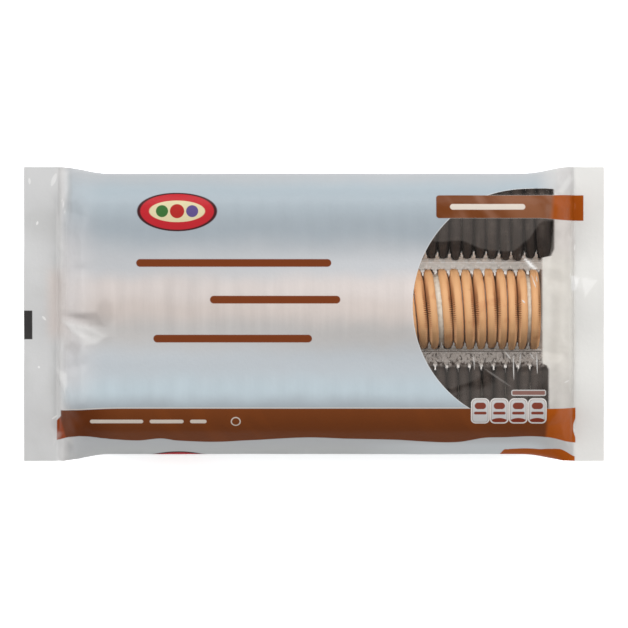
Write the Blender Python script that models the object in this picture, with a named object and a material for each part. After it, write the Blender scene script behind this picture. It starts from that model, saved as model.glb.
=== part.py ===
"""Sealed tray pack of assorted sandwich cookies, lying with its front up.

Three rows of round cookies stand on edge in a tray, and one film wraps them.
The film lies on the rows, runs down over the tray's rim, closes under the
tray, and narrows at each end to a flat sealed fin with a tuck at both sides.
The origin is on the underside, in the middle. X runs along the rows, Y across
them, Z up.
"""

import math

import bmesh
import bpy

# Driving dimensions, in metres
PACK_LENGTH = 0.319
BODY_WIDTH = 0.154
FIN_WIDTH = 0.1617
COOKIE_DIAMETER = 0.0443
ROW_PITCH = 0.0504
SANDWICH_PITCH = 0.0121

# The tray and the rows in the wrap
TRAY_FLOOR = 0.0008
ROW_SHIFT = 0.002
ROWS_Y = (ROW_SHIFT - ROW_PITCH, ROW_SHIFT, ROW_SHIFT + ROW_PITCH)
FILM_CLEARANCE = 0.0006
CREST = TRAY_FLOOR + COOKIE_DIAMETER + 2 * FILM_CLEARANCE
SHOULDER_RADIUS = COOKIE_DIAMETER / 2 + FILM_CLEARANCE
VALLEY_SAG = 0.0016
RIB_DEPTH = 0.0005
RIB_HALF_WIDTH = 0.011

# Directions of the film down each side, measured from level
SLOPE_ANGLE = math.radians(47)
SIDE_ANGLE = math.radians(99)
RIM_RADIUS = 0.004
FOOT_RADIUS = 0.003

# The sealed fins and the film's run from them to the full section
FIN_LEVEL = 0.020
FIN_THICKNESS = 0.0012
FIN_WAVE = 0.0007
FIN_WAVE_LENGTH = 0.058
LEFT_SEAL = 0.018
RIGHT_SEAL = 0.016
FRONT_RUN = 0.020
BACK_RUN = 0.012
FRONT_FLARE_RUN = 0.030
BACK_FLARE_RUN = 0.014
TUCK_RUN = 0.013
TUCK_DEPTH = 0.007
TUCK_PEAK = 0.003
RISE_POWER = 2.4

# Puckers on the sloping ends: place across the pack, lean along it, depth and half width
LEFT_PUCKERS = (
    (-0.060, 0.3, 0.0012, 0.006),
    (-0.031, 0.2, 0.0009, 0.005),
    (-0.002, -0.3, 0.0015, 0.006),
    (0.026, -0.1, 0.0008, 0.005),
    (0.058, -0.3, 0.0012, 0.006),
)
RIGHT_PUCKERS = (
    (-0.058, -0.2, 0.0012, 0.006),
    (-0.024, 0.2, 0.0010, 0.005),
    (0.016, 0.2, 0.0015, 0.006),
    (0.044, -0.2, 0.0009, 0.005),
    (0.064, 0.1, 0.0010, 0.006),
)

# Mesh density
FRONT_STEPS = 15
SHOULDER_STEPS = 7
SLOPE_STEPS = 2
RIM_STEPS = 2
SIDE_STEPS = 2
FOOT_STEPS = 2
BACK_STEPS = 3
END_STATIONS = 13
END_SPACING_POWER = 1.3
FIN_STATIONS = 2

FILM_COLOUR = (0.52, 0.60, 0.64, 1.0)
FILM_ROUGHNESS = 0.35


def ease(value):
    """Smooth step from 0 to 1."""
    value = min(max(value, 0.0), 1.0)
    return value * value * (3 - 2 * value)


def rise(distance, run):
    """Height share of the film at a distance from the fin: steep there, level at the full section."""
    share = min(max(distance / run, 0.0), 1.0)
    return 1 - (1 - share) ** RISE_POWER


def side_stops(outer_row):
    """Film lengths from the front's middle to the back's, where each stretch of one side ends."""
    slope_reach = BODY_WIDTH / 2 - outer_row - SHOULDER_RADIUS * math.sin(SLOPE_ANGLE)
    slope = (slope_reach - RIM_RADIUS * (1 - math.sin(SLOPE_ANGLE))) / math.cos(SLOPE_ANGLE)
    rim_top = CREST - SHOULDER_RADIUS * (1 - math.cos(SLOPE_ANGLE)) - slope * math.sin(SLOPE_ANGLE)
    rim_foot = rim_top - RIM_RADIUS * (math.cos(SLOPE_ANGLE) - math.cos(SIDE_ANGLE))
    to_seam = (rim_foot - FIN_LEVEL) / math.sin(SIDE_ANGLE)
    to_foot = (FIN_LEVEL - FOOT_RADIUS * (1 + math.cos(SIDE_ANGLE))) / math.sin(SIDE_ANGLE)
    side_reach = BODY_WIDTH / 2 - RIM_RADIUS * (1 - math.sin(SIDE_ANGLE))
    foot_reach = side_reach + (to_seam + to_foot) * math.cos(SIDE_ANGLE)
    lengths = (
        outer_row,
        SHOULDER_RADIUS * SLOPE_ANGLE,
        slope,
        RIM_RADIUS * (SIDE_ANGLE - SLOPE_ANGLE),
        to_seam,
        to_foot,
        FOOT_RADIUS * (math.pi - SIDE_ANGLE),
        foot_reach - FOOT_RADIUS * math.sin(SIDE_ANGLE),
    )
    stops = [0.0]
    for length in lengths:
        stops.append(stops[-1] + length)
    return stops


def walk(length, stops):
    """Point (y, z) of the body's section at a film length from the front's middle, on one side."""
    turns = (
        (0.0, 0.0),
        (0.0, SLOPE_ANGLE),
        (SLOPE_ANGLE, SLOPE_ANGLE),
        (SLOPE_ANGLE, SIDE_ANGLE),
        (SIDE_ANGLE, SIDE_ANGLE),
        (SIDE_ANGLE, SIDE_ANGLE),
        (SIDE_ANGLE, math.pi),
        (math.pi, math.pi),
    )
    y, z = 0.0, CREST
    for start, end, (heading, turned) in zip(stops, stops[1:], turns):
        part = min(max(length - start, 0.0), end - start)
        if turned == heading:
            y += part * math.cos(heading)
            z -= part * math.sin(heading)
        else:
            radius = (end - start) / (turned - heading)
            now = heading + part / radius
            y += radius * (math.sin(now) - math.sin(heading))
            z -= radius * (math.cos(heading) - math.cos(now))
    return y, z


# Film lengths on each side, and which of them are the tray's rim, the fin's level and the foot
STOPS = {1: side_stops(ROWS_Y[2]), -1: side_stops(-ROWS_Y[0])}
RIM = 4
SEAM = 5
FOOT = 6


def row_crest(y):
    """1 along the middle of a row, falling to 0 between the rows."""
    nearest = min(abs(y - row) for row in ROWS_Y)
    return math.exp(-((nearest / RIB_HALF_WIDTH) ** 2))


def valley(y):
    """1 midway between two rows and 0 along the rows and outside them."""
    if not ROWS_Y[0] < y < ROWS_Y[2]:
        return 0.0
    return 0.5 - 0.5 * math.cos(2 * math.pi * (y - ROWS_Y[0]) / ROW_PITCH)


def ends(x):
    """Distances inward from the two fins' roots, negative on a fin."""
    left = x + PACK_LENGTH / 2 - LEFT_SEAL
    right = PACK_LENGTH / 2 - RIGHT_SEAL - x
    return left, right


def pucker(distance, y, puckers):
    """Depth of the folds that run from the fin up the sloping end."""
    share = distance / FRONT_RUN
    if not 0 < share < 1:
        return 0.0
    fade = math.sin(math.pi * share)
    depth = 0.0
    for place, lean, most, half_width in puckers:
        across = abs(y - place - lean * distance) / half_width
        depth += most * fade * max(0.0, 1 - across)
    return depth


def film_point(x, length):
    """Point of the film at a place along the pack and a signed film length from the front's middle."""
    side = 1 if length >= 0 else -1
    stops = STOPS[side]
    run = abs(length)
    y, z = walk(run, stops)
    left, right = ends(x)
    distance = min(left, right)
    on_front = run <= stops[SEAM]
    lip = stops[RIM] if on_front else stops[FOOT]
    fold = (stops[SEAM] - run) / (stops[SEAM] - lip)
    if on_front:
        fin_y = min(run / lip, 1.0) * FIN_WIDTH / 2
        fin_z = FIN_LEVEL + min(fold, 1.0) * FIN_THICKNESS / 2
        height = rise(distance, FRONT_RUN)
        flare_run = FRONT_FLARE_RUN
    else:
        fin_y = min((stops[-1] - run) / (stops[-1] - lip), 1.0) * FIN_WIDTH / 2
        fin_z = FIN_LEVEL - min(fold, 1.0) * FIN_THICKNESS / 2
        height = rise(distance, BACK_RUN)
        flare_run = BACK_FLARE_RUN + (FRONT_FLARE_RUN - BACK_FLARE_RUN) * max(0.0, 1 - fold)

    spread = ease(distance / flare_run)
    y = fin_y + (y - fin_y) * spread
    z = fin_z + (z - fin_z) * height

    tuck_start = ease(distance / TUCK_PEAK)
    tuck_end = 1 - ease((distance - TUCK_PEAK) / (TUCK_RUN - TUCK_PEAK))
    y -= TUCK_DEPTH * tuck_start * tuck_end * max(0.0, 1 - fold)
    y *= side

    if on_front:
        ribs = 0.5 - 0.5 * math.cos(2 * math.pi * x / SANDWICH_PITCH)
        z -= height * (VALLEY_SAG * valley(y) + RIB_DEPTH * ribs * row_crest(y))
        z -= pucker(left, y, LEFT_PUCKERS) + pucker(right, y, RIGHT_PUCKERS)
    on_fin = ease(-distance / min(LEFT_SEAL, RIGHT_SEAL))
    z += FIN_WAVE * on_fin * math.sin(2 * math.pi * y / FIN_WAVE_LENGTH)
    return x, y, z


def lengths_around():
    """Signed film lengths of one ring, from the back's middle over the front to the back's middle."""
    steps = (
        FRONT_STEPS, SHOULDER_STEPS, SLOPE_STEPS, RIM_STEPS,
        SIDE_STEPS, SIDE_STEPS, FOOT_STEPS, BACK_STEPS,
    )
    ring = []
    for side in (-1, 1):
        half = [0.0]
        for start, end, count in zip(STOPS[side], STOPS[side][1:], steps):
            half += [start + (end - start) * step / count for step in range(1, count + 1)]
        if side < 0:
            ring = [-length for length in reversed(half)]
        else:
            ring += half[1:]
    return ring


def stations():
    """Places along the pack where it has a ring: close together at the ends, half a sandwich apart between."""
    left_edge = -PACK_LENGTH / 2
    right_edge = PACK_LENGTH / 2
    left_root = left_edge + LEFT_SEAL
    right_root = right_edge - RIGHT_SEAL
    run = max(FRONT_FLARE_RUN, TUCK_RUN)
    spaced = [run * (step / END_STATIONS) ** END_SPACING_POWER for step in range(END_STATIONS)]
    left_fin = [left_edge + LEFT_SEAL * step / FIN_STATIONS for step in range(FIN_STATIONS)]
    right_fin = [right_edge - RIGHT_SEAL * step / FIN_STATIONS for step in range(FIN_STATIONS)]
    half_pitch = SANDWICH_PITCH / 2
    first = math.ceil((left_root + run) / half_pitch)
    last = math.floor((right_root - run) / half_pitch)
    body = [half_pitch * step for step in range(first, last + 1)]
    left = left_fin + [left_root + distance for distance in spaced]
    right = right_fin + [right_root - distance for distance in spaced]
    return left + body + list(reversed(right))


def pack_mesh():
    """One closed film surface: a sheet rolled round the pack, joined underneath and shut at the fins' edges."""
    rings = stations()
    around = lengths_around()
    bm = bmesh.new()
    bmesh.ops.create_grid(bm, x_segments=len(rings) - 1, y_segments=len(around) - 1, size=1.0)
    for vert in bm.verts:
        ring = round((vert.co.x + 1) / 2 * (len(rings) - 1))
        step = round((vert.co.y + 1) / 2 * (len(around) - 1))
        vert.co = film_point(rings[ring], around[step])
    bmesh.ops.remove_doubles(bm, verts=bm.verts, dist=1e-6)
    bmesh.ops.holes_fill(bm, edges=[edge for edge in bm.edges if edge.is_boundary], sides=0)
    bmesh.ops.recalc_face_normals(bm, faces=bm.faces)
    mesh = bpy.data.meshes.new("cookie_pack")
    bm.to_mesh(mesh)
    bm.free()
    return mesh


def film_material():
    """Pale printed film, soft gloss."""
    material = bpy.data.materials.new("printed_film")
    material.use_nodes = True
    shader = material.node_tree.nodes["Principled BSDF"]
    shader.inputs["Base Color"].default_value = FILM_COLOUR
    shader.inputs["Roughness"].default_value = FILM_ROUGHNESS
    shader.inputs["Metallic"].default_value = 0.0
    return material


def main():
    """Clear the scene and build the pack."""
    for old in list(bpy.data.objects):
        bpy.data.objects.remove(old)
    collection = bpy.data.collections.new("pack_of_sandwich_cookies")
    bpy.context.scene.collection.children.link(collection)
    mesh = pack_mesh()
    mesh.materials.append(film_material())
    mesh.shade_smooth()
    mesh.set_sharp_from_angle(angle=math.radians(50))
    collection.objects.link(bpy.data.objects.new("cookie_pack", mesh))


main()
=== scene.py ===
"""Looks of a sealed tray pack of assorted sandwich cookies, lying with its front up.

A printed film with a clear round window wraps a pale tray. Three rows of
sandwich cookies stand on edge in the tray: chocolate, vanilla, chocolate.
Everything is in metres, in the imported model's frame: X along the rows, Y
across them, Z up, with the origin in the middle of the underside.
"""

import bisect
import math
import random

import bmesh
import bpy
from mathutils import Matrix, Vector, noise


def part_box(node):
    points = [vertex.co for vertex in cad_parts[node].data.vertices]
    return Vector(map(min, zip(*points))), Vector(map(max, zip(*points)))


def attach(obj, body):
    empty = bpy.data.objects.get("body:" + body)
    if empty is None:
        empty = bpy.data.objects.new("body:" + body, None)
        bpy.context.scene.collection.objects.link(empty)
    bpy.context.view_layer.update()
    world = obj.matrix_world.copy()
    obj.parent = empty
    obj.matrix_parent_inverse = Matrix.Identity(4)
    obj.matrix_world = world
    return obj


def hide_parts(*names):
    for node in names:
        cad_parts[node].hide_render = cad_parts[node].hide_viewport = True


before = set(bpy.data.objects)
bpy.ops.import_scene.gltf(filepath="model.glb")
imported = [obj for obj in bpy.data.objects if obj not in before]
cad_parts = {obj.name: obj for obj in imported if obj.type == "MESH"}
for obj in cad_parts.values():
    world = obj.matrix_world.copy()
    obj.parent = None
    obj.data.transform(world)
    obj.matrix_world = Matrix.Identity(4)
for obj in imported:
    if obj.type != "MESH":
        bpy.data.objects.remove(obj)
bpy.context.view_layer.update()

NODE = "cookie_pack"
BODY = "root"
PACK_LOW, PACK_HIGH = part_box(NODE)
MILLI = 0.001
SHARP_ANGLE = math.radians(50)

bl_info = {
    "name": "Sandwich cookie pack",
    "version": (1, 0, 0),
    "blender": (4, 5, 0),
    "location": "3D View > Sidebar > Cookie pack",
    "description": "Builds a film-wrapped tray pack of sandwich cookies",
    "category": "Object",
}


def number(name, default, description, **more):
    """A number that the user may change."""
    return bpy.props.FloatProperty(name=name, default=default, description=description, **more)


def size(name, default, description):
    """A length that the user may change."""
    return number(name, default, description, unit="LENGTH", precision=5)


def share(name, default, description):
    """A number between 0 and 1 that the user may change."""
    return number(name, default, description, min=0.0, max=1.0)


def power(name, default, description):
    """A light's power that the user may change."""
    return number(name, default, description, unit="POWER")


def turn(name, default, description):
    """An angle that the user may change, its default in degrees."""
    return number(name, math.radians(default), description, subtype="ANGLE")


def tint(name, default, description):
    """A colour that the user may change, its default as a flat face of it looks on this stage."""
    return bpy.props.FloatVectorProperty(
        name=name, default=ink(*default), description=description, subtype="COLOR", size=3, min=0.0, max=1.0
    )


def linear(channel):
    """A display value from 0 to 255 as linear light."""
    value = channel / 255
    if value <= 0.04045:
        return value / 12.92
    return ((value + 0.055) / 1.055) ** 2.4


WHITE_LIGHT = 1.25


def ink(*display):
    """The colour that a flat face needs to look like this from 0 to 255, as the stage lights it."""
    return tuple(linear(channel) / WHITE_LIGHT for channel in display)


class FilmSizes(bpy.types.PropertyGroup):
    """Form of the wrap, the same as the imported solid's."""

    body_width: size("Body width", 0.154, "Width of the wrap over the tray")
    crest: size("Crest", 0.0463, "Height of the film over the rows")
    cookie_radius: size("Shoulder radius", 0.02275, "Radius of the film over an outer row")
    rim_radius: size("Rim radius", 0.004, "Rounding over the tray's rim")
    foot_radius: size("Foot radius", 0.003, "Rounding at the underside")
    slope: turn("Slope", 47, "Fall of the film from the outer row to the rim")
    side: turn("Side", 99, "Fall of the film down the tray's wall")
    fin_level: size("Fin level", 0.020, "Height of the sealed fins")
    fin_thickness: size("Fin thickness", 0.0012, "Thickness of the sealed fins")
    fin_wave: size("Fin wave", 0.0007, "Height of the fins' slow wave")
    fin_wave_length: size("Fin wave length", 0.058, "Length of the fins' slow wave")
    left_seal: size("Left seal", 0.018, "Length of the left fin")
    right_seal: size("Right seal", 0.016, "Length of the right fin")
    front_run: size("Front run", 0.020, "Length over which the front rises from a fin")
    back_run: size("Back run", 0.012, "Length over which the back falls from a fin")
    front_flare: size("Front flare", 0.030, "Length over which the front widens to a fin")
    back_flare: size("Back flare", 0.014, "Length over which the back widens to a fin")
    tuck_run: size("Tuck run", 0.013, "Length of the tuck at each side")
    tuck_depth: size("Tuck depth", 0.007, "Depth of the tuck at each side")
    tuck_peak: size("Tuck peak", 0.003, "Distance from the fin to the tuck's deepest place")
    valley_sag: size("Valley sag", 0.0016, "Sag of the film between two rows")
    rib_depth: size("Rib depth", 0.0005, "Dip of the film between two sandwiches")
    crinkle: size("Crinkle", 0.0003, "Height of the crinkles near the fins")


class RowSizes(bpy.types.PropertyGroup):
    """The three rows of cookies and the tray."""

    upper_row: size("Upper row", 0.0522, "Place of the upper chocolate row across the pack")
    middle_row: size("Middle row", 0.0026, "Place of the vanilla row across the pack")
    lower_row: size("Lower row", -0.0487, "Place of the lower chocolate row across the pack")
    tray_floor: size("Tray floor", 0.0008, "Height of the troughs' lowest line")
    tray_rim: size("Tray rim", 0.0262, "Height of the tray's rim")
    partition: size("Partition", 0.0236, "Height of the ridge between two troughs")
    creme_radius: size("Creme radius", 0.0186, "Radius of a vanilla sandwich's creme")
    hidden_creme_radius: size("Hidden creme radius", 0.0125, "Radius of a chocolate sandwich's creme")


class PrintColours(bpy.types.PropertyGroup):
    """Inks of the film."""

    strip: tint("Strip", (178, 86, 18), "Brown of the strip and the tab")
    strip_dark: tint("Strip over cookies", (119, 63, 30), "Brown of the strip over dark cookies")
    tab_dark: tint("Tab over cookies", (116, 64, 32), "Brown of the tab over dark cookies")
    bars: tint("Bars", (124, 62, 32), "Brown of the plain bars")
    cream: tint("Cream", (226, 216, 204), "Light ink on the strip and the tab")
    seal: tint("Seal", (210, 210, 210), "Left fin")
    seal_right: tint("Right seal", (233, 232, 229), "Right fin")
    # colour of the milky veil: over the window partly the film's own haze and partly painted reflection of
    # the room
    haze: tint("Haze", (208, 198, 191), "Milky look of the clear film")
    mark: tint("Mark", (52, 50, 50), "Dark mark at the film's left edge")


class FoodColours(bpy.types.PropertyGroup):
    """Cookies and tray."""

    chocolate: tint("Chocolate", (50, 41, 36), "Chocolate wafer")
    chocolate_light: tint("Chocolate, worn", (84, 73, 66), "Rubbed edges of a chocolate wafer")
    vanilla: tint("Vanilla", (241, 187, 131), "Vanilla wafer")
    vanilla_dark: tint("Vanilla, baked", (210, 142, 88), "Browned parts of a vanilla wafer")
    creme: tint("Creme", (226, 216, 200), "Filling")
    tray: tint("Tray", (226, 220, 213), "Tray plastic")


class StageSizes(bpy.types.PropertyGroup):
    """Camera, floor and light."""

    image_width: size("Image width", 0.3454, "Width that the camera sees at the fins")
    camera_height: size("Camera height", 2.4, "Height of the camera over the fins")
    floor: size("Floor", 3.0, "Side of the floor")
    side_power: power("Side power", 8.0, "Power of the softbox at each end")
    top_power: power("Top power", 8.5, "Power of the softbox past the upper row")
    room: share("Room", 0.35, "Brightness of the white room")
    floor_glow: share("Floor glow", 0.45, "Light that the white table gives by itself")


GROUPS = {
    "film_sizes": FilmSizes,
    "row_sizes": RowSizes,
    "print_colours": PrintColours,
    "food_colours": FoodColours,
    "stage_sizes": StageSizes,
}


# Nodes as expressions


class Signal:
    """A value in a material. Arithmetic on it adds Math nodes."""

    def __init__(self, paint, socket):
        self.paint = paint
        self.socket = socket

    def __add__(self, other):
        return self.paint.maths("ADD", self, other)

    __radd__ = __add__

    def __sub__(self, other):
        return self.paint.maths("SUBTRACT", self, other)

    def __rsub__(self, other):
        return self.paint.maths("SUBTRACT", other, self)

    def __mul__(self, other):
        return self.paint.maths("MULTIPLY", self, other)

    __rmul__ = __mul__

    def __truediv__(self, other):
        return self.paint.maths("DIVIDE", self, other)

    def __abs__(self):
        return self.paint.maths("ABSOLUTE", self)


def socket_colour(colour):
    """A colour as a socket takes it: a link as it is, and three numbers with an alpha of 1."""
    return colour if isinstance(colour, Signal) else (*colour, 1.0)


class Paint:
    """One material and the nodes that colour it."""

    def __init__(self, name):
        self.material = bpy.data.materials.new(name)
        self.material.use_nodes = True
        self.tree = self.material.node_tree
        self.tree.nodes.clear()

    def node(self, kind, settings=None, values=None, output=0):
        """Adds a node, with its settings first and then the values or links of its sockets."""
        node = self.tree.nodes.new(kind)
        for name, value in (settings or {}).items():
            if name == "stops":
                self.set_stops(node.color_ramp, value)
            elif name == "interpolation" and kind == "ShaderNodeValToRGB":
                node.color_ramp.interpolation = value
            else:
                setattr(node, name, value)
        for name, value in (values or {}).items():
            if isinstance(value, Signal):
                self.tree.links.new(value.socket, node.inputs[name])
            else:
                node.inputs[name].default_value = value
        return Signal(self, node.outputs[output]) if len(node.outputs) else None

    @staticmethod
    def set_stops(ramp, stops):
        """Gives a colour ramp its stops: pairs of a place from 0 to 1 and a colour."""
        while len(ramp.elements) > 1:
            ramp.elements.remove(ramp.elements[-1])
        for index, (place, colour) in enumerate(stops):
            element = ramp.elements[0] if index == 0 else ramp.elements.new(place)
            element.position = place
            element.color = (*colour, 1.0)

    def maths(self, operation, *values, clamp=False):
        return self.node(
            "ShaderNodeMath", {"operation": operation, "use_clamp": clamp}, dict(enumerate(values))
        )

    def vector(self, operation, *values, output=0, **named):
        return self.node(
            "ShaderNodeVectorMath", {"operation": operation}, {**dict(enumerate(values)), **named}, output
        )

    def largest(self, first, second):
        return self.maths("MAXIMUM", first, second)

    def mix(self, factor, first, second, blend="MIX"):
        """Colour between two others."""
        return self.node(
            "ShaderNodeMix", {"data_type": "RGBA", "blend_type": blend},
            {0: factor, 6: socket_colour(first), 7: socket_colour(second)}, output=2,
        )

    def toned(self, colour, *tones):
        """A colour with tones laid over it in turn, each a mask and a colour."""
        for mask, tone in tones:
            colour = self.mix(mask, colour, tone)
        return colour

    def fade(self, value, start, end, low=0.0, high=1.0):
        """Goes from low to high, smoothly, as value goes from start to end."""
        return self.node(
            "ShaderNodeMapRange", {"interpolation_type": "SMOOTHSTEP"},
            {"Value": value, "From Min": start, "From Max": end, "To Min": low, "To Max": high},
        )

    def within(self, distance, softness):
        """1 where a distance to an outline is below 0, with a soft edge."""
        return self.fade(distance, softness / 2, -softness / 2)

    def between(self, value, low, high, softness):
        """1 between two values, with soft edges."""
        return self.fade(value, low - softness / 2, low + softness / 2) * self.fade(
            value, high + softness / 2, high - softness / 2
        )

    def noise(self, place, scale, detail=2.0, roughness=0.5, distortion=0.0):
        """Noise from 0 to 1 around one half."""
        return self.node(
            "ShaderNodeTexNoise", {"noise_dimensions": "3D"},
            {
                "Vector": place, "Scale": scale, "Detail": detail,
                "Roughness": roughness, "Distortion": distortion,
            },
        )

    def place(self):
        """The piece's own coordinates."""
        return self.node("ShaderNodeTexCoord", output="Object")

    def parts(self, vector):
        """A vector's three numbers."""
        first = self.node("ShaderNodeSeparateXYZ", None, {0: vector})
        outputs = first.socket.node.outputs
        return first, Signal(self, outputs[1]), Signal(self, outputs[2])

    def joined(self, x, y, z=0.0):
        return self.node("ShaderNodeCombineXYZ", None, {0: x, 1: y, 2: z})

    def box_distance(self, place, middle, half, corner):
        """Distance to a rectangle with round corners."""
        offset = self.vector("ABSOLUTE", self.vector("SUBTRACT", place, (*middle, 0.0)))
        beyond = self.vector("SUBTRACT", offset, (half[0] - corner, half[1] - corner, 0.0))
        return self.vector("LENGTH", self.vector("MAXIMUM", beyond, (0.0, 0.0, 0.0)), output=1) - corner

    def disc_distance(self, place, middle, radius):
        """Distance to a disc."""
        return self.vector("LENGTH", self.vector("SUBTRACT", place, (*middle, 0.0)), output=1) - radius

    def stroke(self, place, start, end, width, softness):
        """1 along a line that is widest in its middle and runs out at both ends."""
        start, end = Vector((*start, 0.0)), Vector((*end, 0.0))
        along = end - start
        offset = self.vector("SUBTRACT", place, tuple(start))
        reach = self.vector("DOT_PRODUCT", offset, tuple(along), output=1)
        part = self.maths("DIVIDE", reach, along.length_squared, clamp=True)
        nearest = self.vector("SCALE", tuple(along), Scale=part)
        distance = self.vector("DISTANCE", offset, nearest, output=1)
        half = part * (1.0 - part) * (2 * width)
        return self.within(distance - half, softness) * self.fade(part * (1.0 - part), 0.0, 0.12)

    def surface(self, colour, roughness, bump=None, strength=0.3, height=0.001, values=None):
        """The material's one shader and its output."""
        inputs = {"Base Color": socket_colour(colour), "Roughness": roughness}
        if bump is not None:
            inputs["Normal"] = self.node(
                "ShaderNodeBump", None, {"Height": bump, "Strength": strength, "Distance": height}
            )
        inputs.update(values or {})
        shader = self.node("ShaderNodeBsdfPrincipled", None, inputs)
        self.node("ShaderNodeOutputMaterial", None, {"Surface": shader})
        return self.material


# The film's form


def ease(value):
    """Smooth step from 0 to 1."""
    value = min(max(value, 0.0), 1.0)
    return value * value * (3 - 2 * value)


RISE_POWER = 2.4
ROOT_ROUNDING = 0.0028
CREST_ROWS = (-0.0484, 0.002, 0.0524)
CREST_HALF_WIDTH = 0.011
SANDWICH_PITCH = 0.0121
SLOW_WAVE_SCALE = 42
SLOW_WAVE_HEIGHT = 0.00022
FIN_WRINKLE_HEIGHT = 0.00013
CRINKLE_REACH = 0.030
BACK_FADE = 0.005
# which stop along one side of the film is the tray's rim, the fins' level and the foot
RIM = 4
SEAM = 5
FOOT = 6
CREASES = (
    # start, end, height and half width of a fold on the front, in millimetres
    ((-136, -1), (-117, -4), -0.8, 3.5),
    ((-136, -4), (-112, -12), 0.9, 3.6),
    ((-136, -8), (-125, -18), -0.6, 3.0),
    ((-145, 76), (-137, 55), 0.3, 3.0),
    ((-142, -31), (-134, -46), 0.6, 3.2),
    ((-138, -52), (-126, -66), -0.4, 4.0),
    ((-140, 24), (-120, 30), 0.3, 5.0),
    ((141, 22), (147, 12), 0.6, 3.0),
    ((140, 10), (139, -42), 0.5, 2.6),
    ((137, 40), (143, 52), -0.4, 3.0),
    ((138, -24), (128, -32), 0.4, 3.5),
    ((135, 60), (122, 64), 0.4, 4.0),
)
LEFT_PUCKERS = (
    # place across the pack, lean, depth and half width of a fold up the sloping end
    (-0.060, 0.3, 0.0012, 0.006),
    (-0.031, 0.2, 0.0009, 0.005),
    (-0.002, -0.3, 0.0015, 0.006),
    (0.026, -0.1, 0.0008, 0.005),
    (0.058, -0.3, 0.0012, 0.006),
)
RIGHT_PUCKERS = (
    (-0.058, -0.2, 0.0012, 0.006),
    (-0.024, 0.2, 0.0010, 0.005),
    (0.016, 0.2, 0.0015, 0.006),
    (0.044, -0.2, 0.0009, 0.005),
    (0.064, 0.1, 0.0010, 0.006),
)


def inside_distance(place, corners):
    """Distance from a place inside a convex outline to its nearest side, below 0 outside it."""
    corners = [Vector(corner) for corner in corners]
    middle = sum(corners, Vector((0, 0))) / len(corners)
    nearest = math.inf
    for start, end in zip(corners, corners[1:] + corners[:1]):
        normal = (end - start).orthogonal().normalized()
        if normal.dot(middle - start) < 0:
            normal = -normal
        nearest = min(nearest, normal.dot(place - start))
    return nearest


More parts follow.
